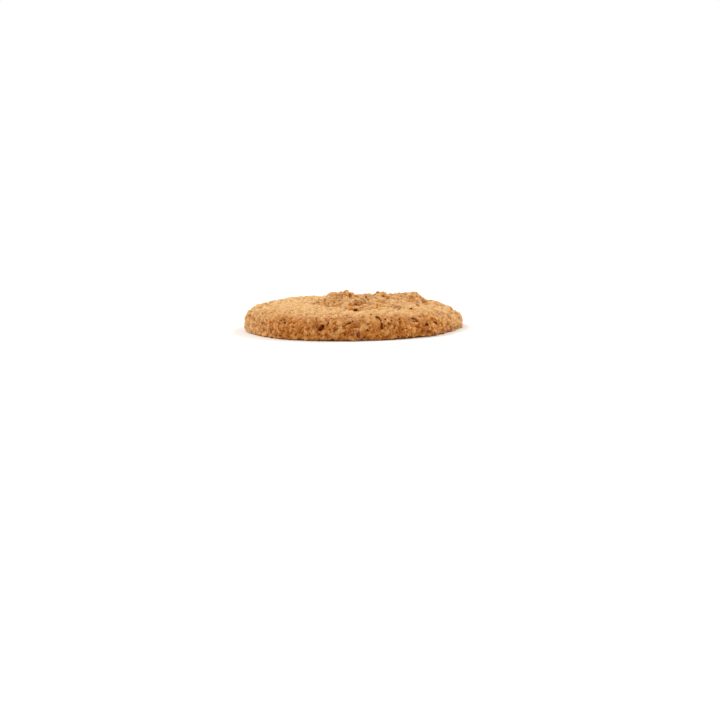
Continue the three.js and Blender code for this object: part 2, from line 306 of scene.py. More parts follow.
# %% A copy of the solid
select_only(frame["nodes"]["cookie"])
bpy.ops.object.duplicate()
dough = bpy.context.object
bpy.ops.object.parent_clear(type="CLEAR_KEEP_TRANSFORM")
for key in list(dough.keys()):
    del dough[key]
dough.name = "dough"
dough.data.name = "dough"
dough.data.materials.clear()
with editing(dough):
    bpy.ops.mesh.remove_doubles(threshold=SAME_POINT)
print("The copy of the solid has", triangles(dough), "triangles")

# %% [markdown]
# Everything that lies on the cookie is placed by a straight line that meets its skin: down from
# above, in from the side, or along a line of sight of the camera. The place then has a point on the
# skin and the way that the skin faces there.

# %% Places on the skin
FAR = 60 * MM  # well outside the cookie
UP = Vector((0, 0, 1))


def outwards(turn):
    """The direction away from the middle at a turn, in degrees."""
    return Vector((math.sin(math.radians(turn)), -math.cos(math.radians(turn)), 0))


def aslant(turn, rise):
    """The direction away from the middle at a turn, tilted up by a rise, both in degrees."""
    slant = math.radians(rise)
    return outwards(turn) * math.cos(slant) + UP * math.sin(slant)


def skin_along(start, direction):
    """The point where a line first meets the dough, and the way the dough faces there."""
    found, point, normal, _ = dough.ray_cast(start, direction)
    return (point, normal) if found else None


def skin_below(x, y):
    """The skin of the top, straight below a point."""
    return skin_along(Vector((x, y, FAR)), -UP)


def skin_beside(turn, height):
    """The skin at a height of the side."""
    return skin_along(outwards(turn) * FAR + UP * height, -outwards(turn))


def seen_by_camera(spots):
    """The skin that the camera sees at each spot, and the numbers after the spot's pixel."""
    for x, y, *numbers in spots:
        place = skin_along(CAMERA_PLACE, sight(x, y))
        if place:
            yield place, *numbers


print("The cookie's middle is", round(skin_below(0, 0)[0].z / MM, 1), "mm high")

# %% Round the rim
RIM_RADIUS = 29 * MM  # a ring inside the rim, which lines of `skin_round` aim at
RIM_HEIGHT = 3 * MM


def skin_round(turn, rise):
    """The skin on a line that aims at the rim from outside: level at a rise of 0, from above at 90."""
    away = aslant(turn, rise)
    aim = outwards(turn) * RIM_RADIUS + UP * RIM_HEIGHT
    return skin_along(aim + away * FAR, -away)


print("The rim is", round(skin_round(0, 90)[0].z / MM, 1), "mm high at the front")


# %% Copies on the skin
def set_on(place, size, spin, lift=0.0):
    """Where a copy stands: its up along the skin's normal, with `lift` of its size above the skin."""
    point, normal = place
    size = Vector(size)
    upright = normal.to_track_quat("Z", "Y").to_matrix().to_4x4()
    turned = Matrix.Rotation(spin, 4, "Z") @ Matrix.Diagonal(size).to_4x4()
    return Matrix.Translation(point + normal * size.z * lift) @ upright @ turned


def join_copies(name, masters, matrices):
    """One piece made of copies of the masters, used in turn, one for each matrix."""
    copies = []
    for number, matrix in enumerate(matrices):
        master = masters[number % len(masters)]
        copy = master.copy()
        copy.data = master.data.copy()
        copy.matrix_world = matrix
        bpy.context.collection.objects.link(copy)
        copies.append(copy)
    select_only(*copies)
    bpy.ops.object.join()
    bpy.ops.object.transform_apply(location=True, rotation=True, scale=True)
    bpy.context.object.name = name
    bpy.context.object.data.name = name
    return bpy.context.object


# %% Lumps to copy
def make_lumps(name, count, roundness, dents, first_seed=1):
    """Uneven lumps, one unit in radius: balls whose corners are moved at random."""
    lumps = []
    for number in range(count):
        bpy.ops.mesh.primitive_ico_sphere_add(subdivisions=roundness, radius=1)
        lump = bpy.context.object
        lump.name = f"{name}_{number}"
        with editing(lump):
            bpy.ops.transform.vertex_random(offset=dents, seed=first_seed + number)
        lumps.append(lump)
    return lumps


def remove(pieces):
    """Takes masters away once they have been copied."""
    for piece in pieces:
        bpy.data.objects.remove(piece)


# %% [markdown]
# The solid has flat facets, which dough has not. A voxel remesh and a little smoothing melt them
# into a smooth body. A second copy of this body is kept for measuring: a hollow gets painted shade
# where it lies deep below the smooth body.

# %% A smooth body
BODY_VOXEL = 0.6 * MM

apply_modifier(dough, "REMESH", mode="VOXEL", voxel_size=BODY_VOXEL)
apply_modifier(dough, "SMOOTH", factor=0.5, iterations=3)
print("The body without its facets has", triangles(dough), "triangles")

select_only(dough)
bpy.ops.object.duplicate()
body = bpy.context.object  # stays smooth: hollows are measured from it later
body.name = "body"

# %% [markdown]
# The middle of the real cookie is broken up into clumps, where lumps of dough did not run together.
# They could be pulled out of the body one by one. Strewing a few hundred uneven balls over it, half
# sunk, is quicker and looks less planned. The largest ones, which shape the skyline, have their
# places picked in the camera's picture.

# %% Loose lumps of dough in the middle
MIDDLE = Vector((6.5, 0)) * MM  # middle of the broken part of the top
MIDDLE_REACH = 20 * MM
LOOSE_LUMPS = 330
LOOSE_LUMP_RADIUS = (0.6 * MM, 2.0 * MM, 0.6 * MM)  # the least, the largest and the most common
TALLEST = 11.7 * MM  # lumps stay below this height
LUMPS_IN_VIEW = (  # pixels where the camera sees large lumps, and their radii in millimetres
    (350.5, 308, 1.7), (345, 305, 1.3), (364, 306.5, 1.7), (372, 307, 1.5), (359.5, 308, 1.0),
    (335, 304.5, 1.5), (323, 303.5, 1.3), (341, 300, 1.5), (330, 296, 1.4), (337, 294, 1.5),
    (345, 295, 1.3), (379, 305, 1.2), (388, 297, 1.4), (381, 294, 1.3), (399, 294.5, 1.4),
    (410, 296, 1.5), (417, 295, 1.3), (411, 301, 1.2),
)

draw = random.Random(3)
lump_matrices = []
while len(lump_matrices) < LOOSE_LUMPS:
    turn = draw.uniform(0, FULL_TURN)
    reach = MIDDLE_REACH * math.sqrt(draw.random()) * draw.uniform(0.9, 1.05)
    place = skin_below(MIDDLE.x + reach * math.sin(turn), MIDDLE.y + reach * math.cos(turn))
    radius = draw.triangular(*LOOSE_LUMP_RADIUS)
    size = (radius, radius * draw.uniform(0.6, 1), radius * draw.uniform(0.5, 0.8))
    matrix = set_on(place, size, draw.uniform(0, FULL_TURN), draw.uniform(-0.6, 0.1))
    if matrix.translation.z + size[2] < TALLEST:
        lump_matrices.append(matrix)
print(len(lump_matrices), "loose lumps lie in the middle")


# %% The largest ones, where the camera sees them
def add_lumps_in_view(spots):
    """Lumps where the camera sees them. Each spot is a pixel and a radius in millimetres."""
    for place, radius in seen_by_camera(spots):
        size = Vector((1, draw.uniform(0.7, 1), draw.uniform(0.6, 0.8))) * radius * MM
        lump_matrices.append(set_on(place, size, draw.uniform(0, FULL_TURN), -0.3))


add_lumps_in_view(LUMPS_IN_VIEW)
print(len(LUMPS_IN_VIEW), "more lumps shape the skyline")

# %% [markdown]
# Round the rim the dough swelled in wide, flat lobes that lie over each other. They are the same
# uneven balls, pressed flatter and sunk deeper.

# %% Lobes round the rim
RIM_LOBES = 170
LOBE_RADIUS = (1.2 * MM, 3.6 * MM, 1.6 * MM)
LOBE_RISE = (-20, 95, 25)  # degrees, most of them low on the rim

for _ in range(RIM_LOBES):
    place = skin_round(draw.uniform(0, 360), draw.triangular(*LOBE_RISE))
    radius = draw.triangular(*LOBE_RADIUS)
    size = (radius, radius * draw.uniform(0.6, 0.95), radius * draw.uniform(0.28, 0.42))
    matrix = set_on(place, size, draw.uniform(0, FULL_TURN), draw.uniform(-0.75, -0.45))
    if place[0].z > radius:
        lump_matrices.append(matrix)
print(len(lump_matrices), "lumps and lobes so far")

# %% [markdown]
# Where the dough met the tray its edge baked ragged, in small teeth. A row of small balls round the
# foot gives them.

# %% Teeth along the foot
FOOT_LUMPS = 260
FOOT_LUMP_RADIUS = (0.35 * MM, 0.8 * MM, 0.35 * MM)
FOOT_LUMP_HEIGHT = (0.2, 1.0)  # millimetres above the underside

for _ in range(FOOT_LUMPS):
    place = skin_beside(draw.uniform(0, 360), draw.uniform(*FOOT_LUMP_HEIGHT) * MM)
    radius = draw.triangular(*FOOT_LUMP_RADIUS)
    size = (radius, radius * draw.uniform(0.6, 1), radius)
    lump_matrices.append(set_on(place, size, draw.uniform(0, FULL_TURN), draw.uniform(-0.4, 0.2)))
print("The foot has", FOOT_LUMPS, "teeth")

# %% [markdown]
# The rim's outline isn't a smooth curve either. A few low swells at both ends of the camera's view
# break it up, made like the large lumps of the middle.

# %% Swells on the rim's outline
SWELLS_IN_VIEW = (  # pixels on the rim's outline, and the swells' radii in millimetres
    (251.3, 307, 0.9), (247, 315, 0.7), (246.5, 322.5, 0.8), (258, 304.5, 1.0), (282.5, 298.6, 1.5),
    (288, 298.4, 1.1), (302.5, 297.6, 1.1), (315, 297, 0.8), (431, 300.4, 1.0), (446, 307.5, 0.9),
    (456.5, 319, 0.8), (452, 311.8, 0.8),
)

add_lumps_in_view(SWELLS_IN_VIEW)
print(len(SWELLS_IN_VIEW), "swells break up the outline")

# %% Lumps, lobes and teeth as one piece
lump_masters = make_lumps("loose_lump", count=6, roundness=2, dents=0.3)
loose_lumps = join_copies("loose_lumps", lump_masters, lump_matrices)
remove(lump_masters)
print(len(lump_matrices), "loose lumps have", triangles(loose_lumps), "triangles")

# %% [markdown]
# Lumps and body still pass through each other. Another voxel remesh joins them into one closed skin.
# Its voxels are small enough for crumbs and keep the piece below 200,000 triangles.

# %% Pressed together
VOXEL = 0.38 * MM

select_only(dough, loose_lumps)
bpy.ops.object.join()
apply_modifier(dough, "REMESH", mode="VOXEL", voxel_size=VOXEL)
apply_modifier(dough, "SMOOTH", factor=0.5, iterations=1)
print("With the lumps the dough has", triangles(dough), "triangles")

# %% [markdown]
# The underside baked flat on its tray and needs few faces. A Decimate operator in edit mode thins
# only the faces that are selected, so that the rest keeps its detail.


# %% A coarser underside
def mark_faces(piece, wanted):
    """Marks the faces for which wanted(middle, normal) is true, and no others."""
    mesh = piece.data
    mesh.vertices.foreach_set("select", [False] * len(mesh.vertices))
    mesh.edges.foreach_set("select", [False] * len(mesh.edges))
    for face in mesh.polygons:
        face.select = wanted(face.center, face.normal)


UNDERSIDE_HEIGHT = 0.1 * MM  # faces of the flat underside lie lower than this
FACING_DOWN = -0.9  # and their normals have a smaller Z than this
UNDERSIDE_SHARE = 0.12  # of its triangles are kept

mark_faces(dough, lambda middle, normal: middle.z < UNDERSIDE_HEIGHT and normal.z < FACING_DOWN)
with editing(dough, everything=False):
    bpy.ops.mesh.decimate(ratio=UNDERSIDE_SHARE)
print("With a coarser underside it has", triangles(dough), "triangles")

# %% [markdown]
# ## The dough, second pass
#
# Close up, the crust is lumpy, its lumps are grainy, and between them run tears and small pits. The
# swollen rim is the smoothest, the side is rougher, and the broken middle the roughest of all. The
# colours use the same patterns again, at the place that each point had before the relief, so that
# paint and relief meet exactly.


# %% Patterns that relief and colour share
def length(vector):
    """How long a vector is: with a place less another, how far apart they are."""
    return Wire.node("ShaderNodeVectorMath", {"operation": "LENGTH"}, {0: vector}, "Value")


def crumb_pits(place):
    """Uneven small dimples, 1 where they are deep."""
    return ramp(cloud(place, 1.3, 1.0), -0.2, -0.5)


def fine_holes(place):
    """Small round holes in about half of the cells of a pattern, 1 in their middles."""
    grid = bent(place, 1.0, 0.15)
    chance = part_of(cells(grid, 1.3, "F1", "Color"), "X")
    return ramp(cells(grid, 1.3), 0.32, 0.14) * ramp(chance, 0.45, 0.55)


def knobs(place):
    """Soft knobs about two millimetres apart, from -1 to 1."""
    return cloud(bent(place, 2.0, 0.4), 1.9, 0.5)


def crevices(place):
    """The gaps between clods of a few millimetres, 1 where they are deepest."""
    gaps = cells(bent(place, 3.0, 1.0), 4.6, "DISTANCE_TO_EDGE")
    return ramp(gaps + 0.12 * cloud(place, 1.4, 1.0), 0.16, 0.02) * ramp(cloud(place, 7.0), -0.5, 0.0)


def tears(place):
    """Thin broken lines, 1 in their middles, where a soft noise passes through zero."""
    distance = Wire.node("ShaderNodeMath", {"operation": "ABSOLUTE"}, {0: cloud(place, 3.4, 1.0)})
    return ramp(distance, 0.055, 0.01) * ramp(cloud(place, 2.6), 0.1, 0.25)


def depth_below(piece):
    """How far inside another piece's skin a point is, in millimetres."""
    skin = Wire.node("GeometryNodeObjectInfo", {}, {"Object": piece}, "Geometry")
    here = Wire.node("GeometryNodeInputPosition")
    nearest = Wire.node("GeometryNodeProximity", {"target_element": "FACES"}, {0: skin}, "Position")
    facing = Wire.node("GeometryNodeSampleNearestSurface", {"data_type": "FLOAT_VECTOR"},
                       {"Mesh": skin, "Value": Wire.node("GeometryNodeInputNormal")})
    inwards = Wire.node("ShaderNodeVectorMath", {"operation": "DOT_PRODUCT"},
                        {0: nearest - here, 1: facing}, "Value")
    return inwards * (1 / MM)


# %% Sizes for the crust's relief
BROKEN_STRETCH = (1.12, 0.95, 0.0)  # places stretched by this make the broken part a circle
BROKEN_MIDDLE = (7.4, 0.0, 0.0)  # its middle after that, in millimetres like all sizes below
PATCH_STRETCH = (0.8, 1.0, 0.0)
PATCH_MIDDLE = (14.0, -13.0, 0.0)  # in this patch in front of the clumps the crust stayed whole
PLATEAU = (9.6, 11.2)  # beside the clumps and on them, what is taller than this is worn down
WORN_DOWN = 0.85  # share of it that goes
CLUMPS_LEFT_END = (-10.2, -9.6)  # from where to where the clumps rise, along X
CLUMPS_RIGHT_END = (24.6, 23.6)
FRONT_LOBE = (-2.6, -37.2, 7.2)  # a tongue of dough that swelled over a crack
LOBE_SHAPE = (0.25, 0.2, 0.36)  # one over how far it reaches to the sides, back and up
SHRINK = 0.22  # the whole skin goes in by this much, which the lumps and grains add again
print("Outside its clumps the crust is worn down above", PLATEAU[0], "mm")


# %% The crust's relief
def crust_relief(place, normal):
    """Lobe, lumps and grains, less pits and tears, and the attributes for the colours."""
    facing_up = part_of(normal, "Z")
    from_middle = length(place * BROKEN_STRETCH - BROKEN_MIDDLE)
    broken = ramp(from_middle + 2 * cloud(place, 6.0), 25.0, 20.0) * ramp(facing_up, 0.1, 0.4)
    from_patch = length(place * PATCH_STRETCH - PATCH_MIDDLE)
    broken = broken * ramp(from_patch + 1.5 * cloud(place, 4.0), 5.0, 9.0, 0.15, 1.0)
    side = ramp(facing_up, 0.75, 0.35) * ramp(facing_up, -0.8, -0.6)

    lobe = 0.7 * ramp(length((place - FRONT_LOBE) * LOBE_SHAPE) + 0.12 * cloud(place, 2.0), 1.0, 0.88)
    swelling = 0.45 * cloud(place, 4.4) + (0.68 + 0.07 * side) * knobs(place)
    strength = (0.46 + 0.04 * broken + 0.16 * side) * ramp(cloud(place, 3.0), -0.4, 0.4, 0.5, 1.3)
    granules = (0.40 - cells(bent(place, 1.2, 0.2), 1.0)) * strength
    grain = cloud(place, 0.85, 2.0) * (0.38 + 0.10 * broken + 0.10 * side)
    pits = crumb_pits(place) * (0.30 + 0.10 * side) + fine_holes(place) * (0.15 + 0.3 * side)
    torn = tears(place) * (0.14 + 0.20 * side) + 1.15 * crevices(place) * broken
    across = part_of(place, "X")
    on_clumps = ramp(across, *CLUMPS_LEFT_END) * ramp(across, *CLUMPS_RIGHT_END)
    plateau = ramp(on_clumps, 0.0, 1.0, *PLATEAU)
    above = Wire.math("MAXIMUM", part_of(place, "Z") - plateau, 0.0)
    relief = lobe + swelling + granules + grain - pits - torn - SHRINK - WORN_DOWN * above
    return relief, {"before": place, "depth": depth_below(body), "raised": granules + grain,
                    "side": side, "broken": broken}


push_out(dough, crust_relief)
remove([body])
print("The dough is now", [round(side / MM, 1) for side in dough.dimensions], "mm")

# %% [markdown]
# ## Pores and cracks
#
# Steam left the real cookie through pores, and its crust tore in cracks. Relief along the normals
# can only dent a skin, so these are cut in: uneven balls for the pores and wavy tubes for the
# cracks are melted into one cutter, roughened, and taken away by a Boolean. A Boolean goes wrong
# where a cutter overlaps itself, which is why the voxel remesh comes first. The cutter carries the
# same attributes as the dough, so that what it lays bare gets painted shade by how deep it lies.

# %% Where the large pores and cracks are
PORES = (  # degrees round from the front, height and radius in millimetres
    (-17, 4.6, 1.15), (15.2, 5.2, 0.8), (-38.6, 5.6, 0.55), (38, 2.1, 0.75), (48, 4.2, 0.7),
    (-65, 6, 0.5), (84, 5.1, 0.8), (121, 3.8, 1.0), (158, 6.1, 0.7), (196, 4.4, 1.1),
    (233, 5.5, 0.7), (262, 3.2, 0.9),
)
CRACKS = (  # lines of places on the side, each as degrees round and a height in millimetres
    ((-6.4, 4.8), (-2.2, 6.1), (1.9, 7.3)),
    ((11, 8.4), (14.4, 7.2), (15.6, 5.4)),
    ((-12.4, 7.7), (-13.2, 6.2), (-12.6, 5)),
    ((33, 7.4), (35.6, 6.3), (37, 5.2)),
    ((100, 3.4), (104, 5.2), (103, 7.2)),
    ((139, 7.6), (144, 6), (151, 5.4)),
    ((178, 3), (176, 5), (181, 7.2)),
    ((214, 6.8), (221, 6.1), (226, 7.2)),
    ((247, 3.6), (245, 5.6), (250, 7.4)),
    ((287, 7.3), (291, 5.6), (298, 4.8)),
)
print(len(PORES), "large pores and", len(CRACKS), "large cracks")

# %% [markdown]
# The largest pores and cracks are in the solid already, and the cutters only make them ragged, so
# their places are the solid's. Smaller ones are picked in the camera's picture or drawn at random.

# %% Small pores and torn spots
PORES_IN_VIEW = (  # pixels where the camera sees small pores, and their radii in millimetres
    (319, 334, 0.4), (385, 319, 0.5), (388.5, 323, 0.4), (368, 323.8, 0.45), (367.5, 330.5, 0.5),
    (331.5, 318, 0.5), (335.5, 324.5, 0.45), (338.7, 316.6, 0.45), (258.2, 317.2, 0.5),
    (272, 312.5, 0.4), (262.5, 314.4, 0.35), (284.2, 319.7, 0.35), (305.8, 322.2, 0.45),
    (303.3, 331.7, 0.4), (307.2, 335.6, 0.4), (280, 335.6, 0.4), (396.7, 315.2, 0.4),
    (399.4, 318.8, 0.5), (390, 324.3, 0.5), (420, 316.3, 0.5), (398, 330, 0.35), (369, 340, 0.7),
    (441.4, 311.6, 0.35), (432.8, 314.3, 0.4), (437, 315.7, 0.4), (356, 331, 0.3),
)
TORN_SPOTS = (  # pixels of wide hollows, and their half sizes in millimetres: across, up and deep
    (322.6, 327, 0.9, 0.9, 1.8), (319.8, 329.3, 1.0, 0.6, 1.4), (381.8, 327, 0.8, 0.7, 1.6),
    (427, 324.5, 0.7, 0.9, 0.9), (440.5, 323.5, 0.6, 1.2, 0.8), (434, 322.3, 1.2, 0.5, 0.5),
    (403, 329, 0.8, 0.7, 0.7), (408.5, 328.5, 1.3, 0.8, 0.4), (330, 305.8, 1.2, 0.9, 0.9),
    (355.5, 310.5, 1.0, 0.9, 1.0), (415, 321.5, 1.6, 0.35, 0.5),
)
SMALL_PORES_ROUND = 150
SMALL_PORES_ON_TOP = 50
SMALL_PORE_RADIUS = (0.2 * MM, 0.5 * MM, 0.2 * MM)
SMALL_PORE_RISE = (-15, 90, 10)  # degrees, most of them low on the side
TOP_REACH = 30  # millimetres from the middle, as far as pores open on top

# %% Strewing the pores
draw = random.Random(17)
pore_matrices = []
for turn, height, radius in PORES:
    place = skin_beside(turn, height * MM)
    size = Vector((1.2, draw.uniform(0.9, 1.15), 1.8)) * radius * MM
    pore_matrices.append(set_on(place, size, draw.uniform(0, FULL_TURN), 0.4))
for place, radius in seen_by_camera(PORES_IN_VIEW):
    size = Vector((1.1, draw.uniform(0.7, 1.0), 2.0)) * radius * MM
    pore_matrices.append(set_on(place, size, draw.uniform(0, FULL_TURN)))
for place, *half_size in seen_by_camera(TORN_SPOTS):
    pore_matrices.append(set_on(place, Vector(half_size) * MM, 0.0))
for number in range(SMALL_PORES_ROUND + SMALL_PORES_ON_TOP):
    if number < SMALL_PORES_ROUND:
        place = skin_round(draw.uniform(0, 360), draw.triangular(*SMALL_PORE_RISE))
    else:
        spot = outwards(draw.uniform(0, 360)) * TOP_REACH * MM * math.sqrt(draw.random())
        place = skin_below(spot.x, spot.y)
    radius = draw.triangular(*SMALL_PORE_RADIUS)
    size = Vector((1.0, draw.uniform(0.55, 0.9), 1.8)) * radius
    pore_matrices.append(set_on(place, size, draw.uniform(0, FULL_TURN)))

# %% The pores as one piece
pore_masters = make_lumps("pore", count=6, roundness=2, dents=0.25)
pores = join_copies("pores", pore_masters, pore_matrices)
remove(pore_masters)
print(len(pore_matrices), "pores have", triangles(pores), "triangles")

# %% [markdown]
# A crack is a wavy line along the skin, deeper in its middle than at its ends. A curve with a round
# bevel is the simplest tube along a line: its points carry their own radius.


# %% One crack
def make_crack(points, width):
    """A wavy tube along the points, thin at both ends."""
    curve = bpy.data.curves.new("crack", "CURVE")
    curve.dimensions = "3D"
    curve.bevel_depth = width / 2
    curve.bevel_resolution = 1
    curve.use_fill_caps = True
    spline = curve.splines.new("POLY")
    spline.points.add(len(points) - 1)
    for number, (point, point_on_line) in enumerate(zip(points, spline.points)):
        along = number / (len(points) - 1)
        point_on_line.co = (*point, 1)
        point_on_line.radius = 0.35 + 0.65 * math.sin(math.pi * along)
    crack = bpy.data.objects.new("crack", curve)
    bpy.context.collection.objects.link(crack)
    select_only(crack)
    bpy.ops.object.convert(target="MESH")
    return bpy.context.object


def wavy(corners, steps, sway, sunk, skin):
    """Points a little below the skin along a line of corners, each swayed a little at random."""
    points = []
    for (turn, rise), (next_turn, next_rise) in zip(corners, corners[1:]):
        for step in range(steps):
            share = step / steps
            point, normal = skin(turn + share * (next_turn - turn) + draw.uniform(-sway, sway),
                                 rise + share * (next_rise - rise))
            points.append(point - normal * sunk)
    point, normal = skin(*corners[-1])
    points.append(point - normal * sunk)
    return points


# %% Cracks and hairlines
CRACK_WIDTH = 1.05 * MM
CRACK_SUNK = 0.3 * MM  # how far below the skin a crack's middle line lies
HAIRLINES = 40  # short ones at random, on the sides and the back
HAIRLINE_TURNS = (40, 320)
HAIRLINE_RISES = (0, 70)
HAIRLINE_STEP = (2.4, 15)  # degrees round, and of rise, from one of its corners to the next
HAIRLINE_WIDTH = (0.45 * MM, 0.65 * MM)
HAIRLINE_SUNK = 0.12 * MM

draw = random.Random(29)
cracks = []
for corners in CRACKS:
    corners = [(turn, height * MM) for turn, height in corners]
    line = wavy(corners, steps=5, sway=0.35, sunk=CRACK_SUNK, skin=skin_beside)
    cracks.append(make_crack(line, CRACK_WIDTH))
for _ in range(HAIRLINES):
    corners = [(draw.uniform(*HAIRLINE_TURNS), draw.uniform(*HAIRLINE_RISES))]
    heading = draw.uniform(0, FULL_TURN)
    for _ in range(draw.randint(2, 4)):
        heading += draw.uniform(-0.7, 0.7)
        turn, rise = corners[-1]
        rise = min(85, max(-10, rise + HAIRLINE_STEP[1] * math.sin(heading)))
        corners.append((turn + HAIRLINE_STEP[0] * math.cos(heading), rise))
    width = draw.uniform(*HAIRLINE_WIDTH)
    line = wavy(corners, steps=3, sway=0.3, sunk=HAIRLINE_SUNK, skin=skin_round)
    cracks.append(make_crack(line, width))
print(len(cracks), "cracks come to", sum(triangles(crack) for crack in cracks), "triangles")

# %% Cutting them in
CUTTER_VOXEL = 0.22 * MM
SMOOTH_UP_TO = math.radians(60)  # edges sharper than this stay sharp


def rough_cut(place, normal):
    """A crumbly skin for the cutter, and the attributes that paint shade on what it lays bare."""
    relief = 0.2 * cloud(place, 0.7, 1.0) + 0.16 * (0.4 - cells(place, 0.8))
    return relief, {"before": place, "depth": depth_below(dough) + 0.1, "side": 1.0}


select_only(pores, *cracks)
bpy.ops.object.join()
cutter = bpy.context.object
cutter.name = "cutter"
with editing(cutter):
    bpy.ops.mesh.remove_doubles(threshold=SAME_POINT)
apply_modifier(cutter, "REMESH", mode="VOXEL", voxel_size=CUTTER_VOXEL)
push_out(cutter, rough_cut)
apply_modifier(dough, "BOOLEAN", object=cutter, operation="DIFFERENCE", solver="MANIFOLD")
remove([cutter])
select_only(dough)
bpy.ops.object.shade_smooth_by_angle(angle=SMOOTH_UP_TO)
print("The cut dough has", triangles(dough), "triangles")

# %% [markdown]
# ## Fruit and chocolate
#
# Small bits of dried cranberry and nuggets of white chocolate lie in the dough. The solid has them
# fused on, at places listed one by one in front and by a spiral elsewhere. The same rule and the same
# row of random numbers find those places again here, so that each bit covers its own bump.

# %% The places of the pieces
GOLDEN_TURN = 180 * (3 - math.sqrt(5))
SPREAD_REACH = 33 * MM
SIDE_BAND = (2.2 * MM, 7.2 * MM)
SIDE_FROM = 75  # degrees round, where the pieces of the side that weren't listed one by one begin
SIDE_TURNS = 255  # degrees that they go on for
ROW_TIMES, ROW_PLUS, ROW_LENGTH = 1664525, 1013904223, 2**32  # of the row of random numbers


def fixed_row(seed):
    """The row of random numbers, from 0 to 1, that the solid's pieces were placed by."""
    while True:
        seed = (seed * ROW_TIMES + ROW_PLUS) % ROW_LENGTH
        yield seed / ROW_LENGTH


def piece_places(on_top, on_side, top_count, side_count, seed):
    """The named places on top and side, then those of the spiral and of the side, without misses."""
    row = fixed_row(seed)
    tops = [Vector(spot) * MM for spot in on_top]
    for number in range(top_count):
        reach = SPREAD_REACH * math.sqrt((number + next(row)) / top_count)
        turn = number * GOLDEN_TURN + math.degrees(seed + next(row))
        tops.append(outwards(turn).xy * reach)
    sides = [(turn, height * MM) for turn, height in on_side]
    lowest_place, highest_place = SIDE_BAND
    for number in range(side_count):
        turn = SIDE_FROM + (number + next(row)) / side_count * SIDE_TURNS
        sides.append((turn, lowest_place + (highest_place - lowest_place) * next(row)))
    return [skin_below(*spot) for spot in tops] + [skin_beside(*spot) for spot in sides]


CRANBERRY_PLACES = piece_places(
    on_top=((4.8, 5), (-30.2, 1), (15.6, -24.5), (19.7, -21.5)),
    on_side=((2.6, 2.1), (34, 6.4)),
    top_count=9, side_count=6, seed=11,
)
CHOCOLATE_PLACES = piece_places(
    on_top=((-11.2, -19.2), (7.6, -23.2), (24, 9), (-2, 20.5)),
    on_side=((29, 4.4), (32.5, 3.4), (51, 5), (54.5, 3.3)),
    top_count=10, side_count=8, seed=29,
)
print(len(CRANBERRY_PLACES), "places are for cranberry and", len(CHOCOLATE_PLACES), "for chocolate")

# %% [markdown]
# A bit of dried cranberry is a torn, wrinkled scrap, wider than it is thick. Each is a ball pressed
# flat, dented at random and then wrinkled by relief.

# %% Where the cranberry bits lie
CRANBERRY_RADIUS = (0.55 * MM, 1.0 * MM)
NAMED_BITS = (0, 1, 2, 3, 13, 14)  # the places that were listed one by one have the largest bits
OTHERS_SHARE = 0.55
EXTRA_SCRAPS = 14  # smaller ones, strewn without a bump of their own
SCRAP_RADIUS = (0.2 * MM, 0.45 * MM)

draw = random.Random(41)
cranberry_matrices = []
for number, place in enumerate(CRANBERRY_PLACES):
    radius = draw.uniform(*CRANBERRY_RADIUS)
    if number not in NAMED_BITS:
        radius *= OTHERS_SHARE
    size = (radius, radius * draw.uniform(0.55, 0.9), radius * 0.6)
    cranberry_matrices.append(set_on(place, size, draw.uniform(0, FULL_TURN), -0.35))
for _ in range(EXTRA_SCRAPS):
    place = skin_round(draw.uniform(0, 360), draw.uniform(-5, 90))
    radius = draw.uniform(*SCRAP_RADIUS)
    size = (radius, radius * draw.uniform(0.4, 0.8), radius * 0.5)
    cranberry_matrices.append(set_on(place, size, draw.uniform(0, FULL_TURN), -0.3))
print("There are", len(cranberry_matrices), "bits of cranberry")


# %% Wrinkled bits
def wrinkles(place, normal):
    """Folds with deep creases between them, as a dried fruit has."""
    folds = cells(bent(place, 0.8, 0.2), 0.85, "DISTANCE_TO_EDGE")
    relief = 0.16 * ramp(folds, 0.0, 0.25) + 0.08 * cloud(place, 0.5) - 0.1
    return relief, {"hollow": ramp(folds, 0.15, 0.0)}


cranberry_masters = make_lumps("cranberry", count=5, roundness=4, dents=0.06, first_seed=0)
cranberry = join_copies("cranberry_bits", cranberry_masters, cranberry_matrices)
remove(cranberry_masters)
push_out(cranberry, wrinkles)
bpy.ops.object.shade_smooth()
print("The cranberry bits have", triangles(cranberry), "triangles")

# %% [markdown]
# The white chocolate has melted and caramelised to gold, and broken up into clusters of grains.
# Each nugget is a few grains pressed together on the skin, with the largest on the solid's bump.

